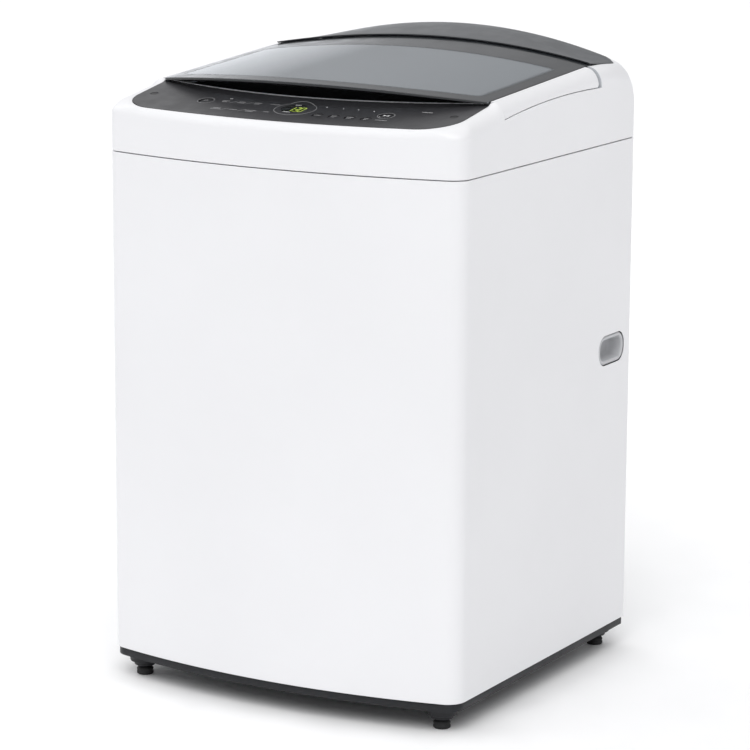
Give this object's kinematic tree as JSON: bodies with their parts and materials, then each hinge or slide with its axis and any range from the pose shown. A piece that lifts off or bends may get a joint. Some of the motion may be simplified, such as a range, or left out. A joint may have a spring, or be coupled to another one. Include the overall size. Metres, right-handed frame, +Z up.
{
  "type": "top load washing machine",
  "caption": "Top load washing machine: white steel cabinet, moulded top with hinged crowned glass lid, sloping control panel, hung tub, spinning basket and pulsator.",
  "frame": {"origin": "middle of the machine's footprint box, on the floor that its four feet stand on", "axes": "+Z up, the front with the control panel faces -Y, +X is the machine's right as seen from the front"},
  "size_m": [0.59, 0.606, 0.9495],
  "materials": {
    "white_steel": "fine textured white powder coat",
    "white_plastic": "white moulded, semi-gloss",
    "grey_plastic": "light grey moulded, satin",
    "deck_plastic": "dark grey, satin gloss",
    "panel_plastic": "black film, satin gloss",
    "display": "dark window over lit digits",
    "black_plastic": "black moulded",
    "base_plastic": "dark blue-grey moulded",
    "silver_trim": "bright silver strip",
    "smoked_glass": "tempered glass with a dark printed border",
    "stainless": "brushed stainless steel",
    "galvanised": "zinc-coated steel",
    "copper": "lacquered copper winding",
    "circuit": "resin-filled electronics tray",
    "rubber": "black rubber"
  },
  "bodies": {
    "root": {"cabinet_shell": "white_steel", "rear_panel": "galvanised", "base_frame": "base_plastic", "top_cover": "white_plastic", "rear_deck_cover": "deck_plastic", "control_fascia": "panel_plastic", "trim_strip": "silver_trim", "hand_recess_liner": "black_plastic", "display_window": "display", "control_board": "circuit", "hand_grip_left": "white_plastic", "hand_grip_right": "white_plastic", "dispenser_housing": "grey_plastic", "cold_inlet_valve": "black_plastic", "hot_inlet_valve": "black_plastic", "pressure_sensor": "black_plastic", "drain_pump": "black_plastic", "drain_outlet": "black_plastic", "power_cord_gland": "rubber", "lid_lock": "black_plastic", "pump_bellows": "rubber", "drain_pipe": "rubber", "suspension_rod_front_left": "galvanised", "suspension_rod_front_right": "galvanised", "suspension_rod_rear_left": "galvanised", "suspension_rod_rear_right": "galvanised", "suspension_spring_front_left": "galvanised", "suspension_spring_front_right": "galvanised", "suspension_spring_rear_left": "galvanised", "suspension_spring_rear_right": "galvanised"},
    "lid": {"lid_frame": "grey_plastic", "lid_glass": "smoked_glass", "lid_side_left": "white_plastic", "lid_side_right": "white_plastic", "lid_hinge_pin_left": "stainless", "lid_hinge_pin_right": "stainless"},
    "drawer": {"detergent_drawer": "white_plastic"},
    "tub": {"outer_tub": "grey_plastic", "tub_cover": "grey_plastic", "bearing_housing": "galvanised", "motor_stator": "copper"},
    "basket": {"wash_basket": "stainless", "basket_base": "grey_plastic", "balance_ring": "grey_plastic", "spin_shaft": "stainless"},
    "pulsator": {"pulsator": "grey_plastic", "pulsator_shaft": "stainless", "motor_rotor": "galvanised"},
    "filter_left": {"lint_filter_left": "grey_plastic"},
    "filter_right": {"lint_filter_right": "grey_plastic"},
    "foot_front_left": {"foot_front_left": "rubber"},
    "foot_front_right": {"foot_front_right": "rubber"},
    "foot_rear_left": {"foot_rear_left": "rubber"},
    "foot_rear_right": {"foot_rear_right": "rubber"},
    "power_button": {"power_button": "panel_plastic"},
    "start_button": {"start_button": "panel_plastic"},
    "option_button_1": {"option_button_1": "panel_plastic"},
    "option_button_2": {"option_button_2": "panel_plastic"},
    "option_button_3": {"option_button_3": "panel_plastic"},
    "option_button_4": {"option_button_4": "panel_plastic"}
  },
  "joints": [
    {"name": "lid_hinge", "type": "hinge", "parent": "root", "child": "lid", "pos_m": [0, 0.15, 0.9015], "axis": [-1, 0, 0], "range_deg": [0, 92]},
    {"name": "drawer_slide", "type": "slide", "parent": "root", "child": "drawer", "axis": [0, -1, 0], "range_m": [0, 0.055]},
    {"name": "tub_bounce", "type": "slide", "parent": "root", "child": "tub", "axis": [0, 0, 1], "range_m": [-0.018, 0.018], "stiffness_N_per_m": 24000, "springref_m": 0.01298, "deforming": ["suspension_spring_front_left", "suspension_spring_front_right", "suspension_spring_rear_left", "suspension_spring_rear_right", "pump_bellows"]},
    {"name": "basket_spin", "type": "hinge", "parent": "tub", "child": "basket", "pos_m": [0, 0, 0.5], "axis": [0, 0, 1], "continuous": true},
    {"name": "pulsator_spin", "type": "hinge", "parent": "basket", "child": "pulsator", "pos_m": [0, 0, 0.25], "axis": [0, 0, 1], "continuous": true},
    {"name": "filter_tilt_left", "type": "hinge", "parent": "basket", "child": "filter_left", "pos_m": [-0.2155, 0, 0.382], "axis": [0, 1, 0], "range_deg": [0, 18]},
    {"name": "filter_tilt_right", "type": "hinge", "parent": "basket", "child": "filter_right", "pos_m": [0.2155, 0, 0.382], "axis": [0, -1, 0], "range_deg": [0, 18]},
    {"name": "level_front_left", "type": "slide", "parent": "root", "child": "foot_front_left", "axis": [0, 0, -1], "range_m": [0, 0.015]},
    {"name": "level_front_right", "type": "slide", "parent": "root", "child": "foot_front_right", "axis": [0, 0, -1], "range_m": [0, 0.015]},
    {"name": "level_rear_left", "type": "slide", "parent": "root", "child": "foot_rear_left", "axis": [0, 0, -1], "range_m": [0, 0.015]},
    {"name": "level_rear_right", "type": "slide", "parent": "root", "child": "foot_rear_right", "axis": [0, 0, -1], "range_m": [0, 0.015]},
    {"name": "press_power", "type": "slide", "parent": "root", "child": "power_button", "axis": [0, 0.1733, -0.9849], "range_m": [0, 0.0008], "stiffness_N_per_m": 1500, "springref_m": -0.0006},
    {"name": "press_start", "type": "slide", "parent": "root", "child": "start_button", "axis": [0, 0.1733, -0.9849], "range_m": [0, 0.0008], "stiffness_N_per_m": 1500, "springref_m": -0.0006},
    {"name": "press_option_1", "type": "slide", "parent": "root", "child": "option_button_1", "axis": [0, 0.1733, -0.9849], "range_m": [0, 0.0008], "stiffness_N_per_m": 1500, "springref_m": -0.0006},
    {"name": "press_option_2", "type": "slide", "parent": "root", "child": "option_button_2", "axis": [0, 0.1733, -0.9849], "range_m": [0, 0.0008], "stiffness_N_per_m": 1500, "springref_m": -0.0006},
    {"name": "press_option_3", "type": "slide", "parent": "root", "child": "option_button_3", "axis": [0, 0.1733, -0.9849], "range_m": [0, 0.0008], "stiffness_N_per_m": 1500, "springref_m": -0.0006},
    {"name": "press_option_4", "type": "slide", "parent": "root", "child": "option_button_4", "axis": [0, 0.1733, -0.9849], "range_m": [0, 0.0008], "stiffness_N_per_m": 1500, "springref_m": -0.0006}
  ]
}
